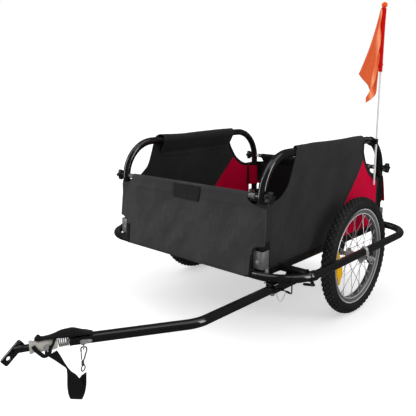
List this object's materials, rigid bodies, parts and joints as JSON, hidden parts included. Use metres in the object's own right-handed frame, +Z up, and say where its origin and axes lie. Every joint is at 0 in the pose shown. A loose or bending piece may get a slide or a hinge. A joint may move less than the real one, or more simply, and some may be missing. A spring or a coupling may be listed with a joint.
{
  "type": "bike cargo trailer",
  "caption": "Two-wheeled bicycle cargo trailer with folding tubular hoops, a fabric box, an offset drawbar with a sprung hitch and a safety flag.",
  "frame": {"origin": "centre of the outline at ground level, under the tyres", "axes": "-Y is forward towards the hitch, +X is the trailer's left, +Z is up; the wheel axle lies along X at y 0.3909, z 0.197"},
  "size_m": [0.874, 1.4689, 1.0234],
  "materials": {
    "frame_paint": "satin black powder coat on steel tube and plate",
    "fabric_black": "near-black coated woven polyester, also over the floor board",
    "fabric_red": "crimson coated woven polyester",
    "zinc": "bright zinc-plated steel",
    "rim_alloy": "clear anodised aluminium",
    "tyre": "black moulded rubber",
    "knob_plastic": "black moulded nylon",
    "cream_nylon": "cream nylon",
    "amber_lens": "amber reflector plastic",
    "webbing": "black woven webbing",
    "white_rod": "white glass-fibre rod",
    "orange_plastic": "orange moulded plastic",
    "orange_fabric": "thin orange flag cloth"
  },
  "bodies": {
    "frame": {"front_beam": "frame_paint", "wheel_guard": "frame_paint", "floor_crossbar": "frame_paint", "floor_panel": "fabric_black", "side_rail_left": "frame_paint", "side_rail_right": "frame_paint", "inner_dropout_left": "frame_paint", "inner_dropout_right": "frame_paint", "outer_dropout_left": "frame_paint", "outer_dropout_right": "frame_paint", "axle_left": "zinc", "axle_right": "zinc", "leg_bracket_front_left": "frame_paint", "leg_bracket_front_right": "frame_paint", "leg_bracket_rear_left": "frame_paint", "leg_bracket_rear_right": "frame_paint", "fold_bolt_front_left": "zinc", "fold_bolt_front_right": "zinc", "fold_bolt_rear_left": "zinc", "fold_bolt_rear_right": "zinc", "drawbar_bracket": "frame_paint", "drawbar_bolt": "zinc", "drawbar": "frame_paint", "pin_lanyard": "zinc", "strap_band": "webbing", "strap_loop": "webbing", "tube_eye": "zinc"},
    "wheel_left": {"tyre_left": "tyre", "rim_left": "rim_alloy", "wheel_hub_left": "zinc", "spoke_reflector_left": "amber_lens"},
    "wheel_right": {"tyre_right": "tyre", "rim_right": "rim_alloy", "wheel_hub_right": "zinc", "spoke_reflector_right": "amber_lens"},
    "hoop_arm_left": {"hoop_left": "frame_paint", "side_panel_left": "fabric_black", "pole_clip": "knob_plastic"},
    "hoop_arm_right": {"hoop_right": "frame_paint", "side_panel_right": "fabric_black"},
    "gate_front": {"cross_bar_front": "zinc", "front_panel": "fabric_black"},
    "gate_rear": {"cross_bar_rear": "zinc", "rear_panel": "fabric_red"},
    "star_front_left": {"knob_front_left": "knob_plastic"},
    "star_front_right": {"knob_front_right": "knob_plastic"},
    "star_rear_left": {"knob_rear_left": "knob_plastic"},
    "star_rear_right": {"knob_rear_right": "knob_plastic"},
    "guard_lock_left": {"guard_pin_left": "frame_paint"},
    "guard_lock_right": {"guard_pin_right": "frame_paint"},
    "drawbar_lock": {"drawbar_pin": "frame_paint"},
    "hitch_flex": {"hitch_spring": "zinc"},
    "hitch_block": {"coupling": "cream_nylon", "coupling_bolt": "zinc"},
    "hitch_head": {"hitch_bar": "frame_paint"},
    "flag_mast": {"flag_pole": "white_rod", "flag_ball": "orange_plastic", "flag": "orange_fabric"},
    "hook_body": {"snap_hook": "zinc"},
    "hook_keeper": {"snap_gate": "zinc"}
  },
  "joints": [
    {"name": "wheel_left_spin", "type": "hinge", "parent": "frame", "child": "wheel_left", "pos_m": [0.3655, 0.3909, 0.197], "axis": [1, 0, 0], "continuous": true},
    {"name": "wheel_right_spin", "type": "hinge", "parent": "frame", "child": "wheel_right", "pos_m": [-0.3655, 0.3909, 0.197], "axis": [1, 0, 0], "continuous": true},
    {"name": "hoop_left_fold", "type": "hinge", "parent": "frame", "child": "hoop_arm_left", "pos_m": [0.294, 0.3259, 0.268], "axis": [0, -1, 0], "range_deg": [0, 80]},
    {"name": "hoop_right_fold", "type": "hinge", "parent": "frame", "child": "hoop_arm_right", "pos_m": [-0.294, 0.3259, 0.268], "axis": [0, 1, 0], "range_deg": [0, 90]},
    {"name": "gate_front_drop", "type": "hinge", "parent": "frame", "child": "gate_front", "pos_m": [0, -0.0698, 0.2225], "axis": [1, 0, 0], "range_deg": [0, 140]},
    {"name": "gate_rear_drop", "type": "hinge", "parent": "frame", "child": "gate_rear", "pos_m": [0, 0.7349, 0.2225], "axis": [-1, 0, 0], "range_deg": [0, 140]},
    {"name": "knob_front_left_turn", "type": "hinge", "parent": "hoop_arm_left", "child": "star_front_left", "pos_m": [0.322, -0.0351, 0.453], "axis": [1, 0, 0], "continuous": true},
    {"name": "knob_front_right_turn", "type": "hinge", "parent": "hoop_arm_right", "child": "star_front_right", "pos_m": [-0.322, -0.0351, 0.453], "axis": [-1, 0, 0], "continuous": true},
    {"name": "knob_rear_left_turn", "type": "hinge", "parent": "hoop_arm_left", "child": "star_rear_left", "pos_m": [0.322, 0.6869, 0.453], "axis": [1, 0, 0], "continuous": true},
    {"name": "knob_rear_right_turn", "type": "hinge", "parent": "hoop_arm_right", "child": "star_rear_right", "pos_m": [-0.322, 0.6869, 0.453], "axis": [-1, 0, 0], "continuous": true},
    {"name": "guard_pin_left_pull", "type": "slide", "parent": "frame", "child": "guard_lock_left", "axis": [0, 0, -1], "range_m": [0, 0.045]},
    {"name": "guard_pin_right_pull", "type": "slide", "parent": "frame", "child": "guard_lock_right", "axis": [0, 0, -1], "range_m": [0, 0.045]},
    {"name": "drawbar_pin_pull", "type": "slide", "parent": "frame", "child": "drawbar_lock", "axis": [0, 0, -1], "range_m": [0, 0.055]},
    {"name": "hitch_yaw", "type": "hinge", "parent": "frame", "child": "hitch_flex", "pos_m": [0.19033, -0.60174, 0.2015], "axis": [0, 0, 1], "range_deg": [-30, 30], "stiffness_Nm_per_rad": 20, "deforming": ["hitch_spring", "strap_band"]},
    {"name": "hitch_pitch", "type": "hinge", "parent": "hitch_flex", "child": "hitch_block", "pos_m": [0.18053, -0.6231, 0.2015], "axis": [-0.9089, 0.417, 0], "range_deg": [-20, 20], "stiffness_Nm_per_rad": 20, "deforming": ["hitch_spring", "strap_band"]},
    {"name": "hitch_roll", "type": "hinge", "parent": "hitch_block", "child": "hitch_head", "pos_m": [0.15531, -0.67809, 0.2015], "axis": [-0.417, -0.9089, 0], "continuous": true},
    {"name": "flag_lift", "type": "slide", "parent": "hoop_arm_left", "child": "flag_mast", "axis": [0, 0, 1], "range_m": [0, 0.15]},
    {"name": "hook_swing", "type": "hinge", "parent": "frame", "child": "hook_body", "pos_m": [0.21796, -0.58158, 0.1865], "axis": [-0.517, -0.856, 0], "range_deg": [-20, 20]},
    {"name": "hook_gate_press", "type": "hinge", "parent": "hook_body", "child": "hook_keeper", "pos_m": [0.21475, -0.58689, 0.1571], "axis": [-0.856, 0.517, 0], "range_deg": [0, 25], "stiffness_Nm_per_rad": 0.02}
  ],
  "couplings": [
    {"joint": "hoop_right_fold", "follows": "hoop_left_fold", "ratio": 1.125},
    {"joint": "gate_front_drop", "follows": "hoop_left_fold", "ratio": 1.75},
    {"joint": "gate_rear_drop", "follows": "hoop_left_fold", "ratio": 1.75}
  ]
}
